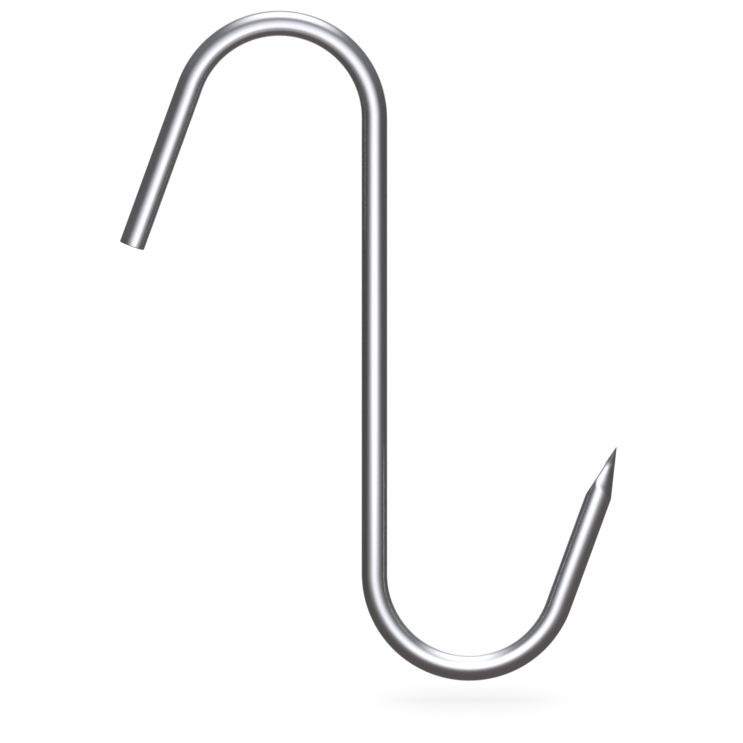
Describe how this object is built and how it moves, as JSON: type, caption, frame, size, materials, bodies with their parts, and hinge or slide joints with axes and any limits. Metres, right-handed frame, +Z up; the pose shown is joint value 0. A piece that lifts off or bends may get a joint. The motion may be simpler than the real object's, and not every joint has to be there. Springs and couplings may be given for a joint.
{
  "type": "meat hook",
  "caption": "S-shaped meat hook of round polished stainless bar, with a blunt upper hook for the rail and a sharp lower hook for the meat.",
  "frame": {"origin": "inside crown of the upper bend, where the rail bears, in the middle of the rod", "axes": "+Z up along the shank, +X from the upper hook's centre towards the shank, +Y through the hook's flat side, away from the viewer who sees the upper hook open to the left"},
  "size_m": [0.1529, 0.008, 0.207],
  "materials": {
    "polished_stainless": "polished"
  },
  "bodies": {
    "root": {"hook_rod": "polished_stainless"}
  },
  "joints": []
}
